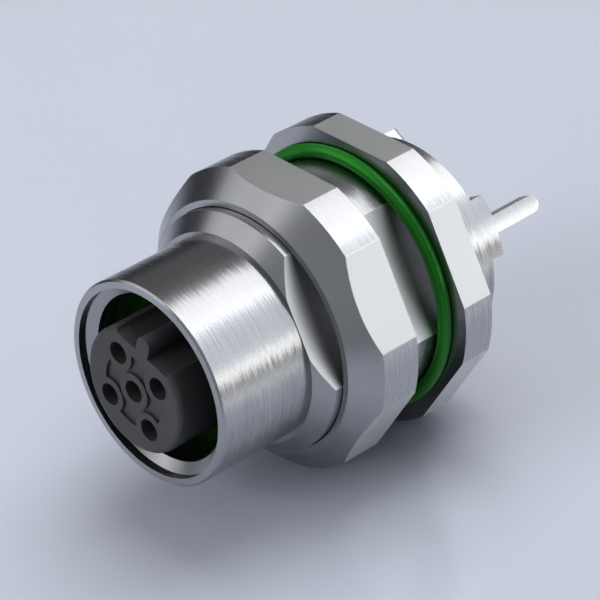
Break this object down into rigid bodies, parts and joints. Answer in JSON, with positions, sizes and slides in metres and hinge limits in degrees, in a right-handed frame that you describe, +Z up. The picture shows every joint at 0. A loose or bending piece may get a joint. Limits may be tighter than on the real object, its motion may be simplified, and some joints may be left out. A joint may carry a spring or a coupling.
{
  "type": "circular connector socket",
  "caption": "Panel-mount round socket connector with a keyed insert, threaded shell, flatted shank, hexagon flange and nut, a sealing ring and board pins.",
  "frame": {"origin": "on the connector's axis, in the plane of the board that the three rear pads stand on, at the centre of the solder tails", "axes": "+Y along the axis towards the solder tails, mating face towards -Y, +Z up with one flat of each hexagon facing straight down"},
  "size_m": [0.02, 0.0287, 0.019],
  "materials": {
    "nickel_body": "turned nickel plate",
    "nickel_nut": "turned nickel plate",
    "green_seal": "satin",
    "dark_polyamide": "matt",
    "gold_contact": "polished gold plate"
  },
  "bodies": {
    "connector": {"housing": "nickel_body", "panel_seal": "green_seal", "socket_seal": "green_seal", "carrier_seal": "green_seal", "contact_carrier": "dark_polyamide", "rear_insulator": "dark_polyamide", "contact_1": "gold_contact", "contact_2": "gold_contact", "contact_3": "gold_contact", "contact_4": "gold_contact", "contact_5": "gold_contact"},
    "nut": {"panel_nut": "nickel_nut"}
  },
  "joints": [
    {"name": "nut_travel", "type": "slide", "parent": "connector", "child": "nut", "axis": [0, -1, 0], "range_m": [-0.0032, 0.0155]}
  ]
}
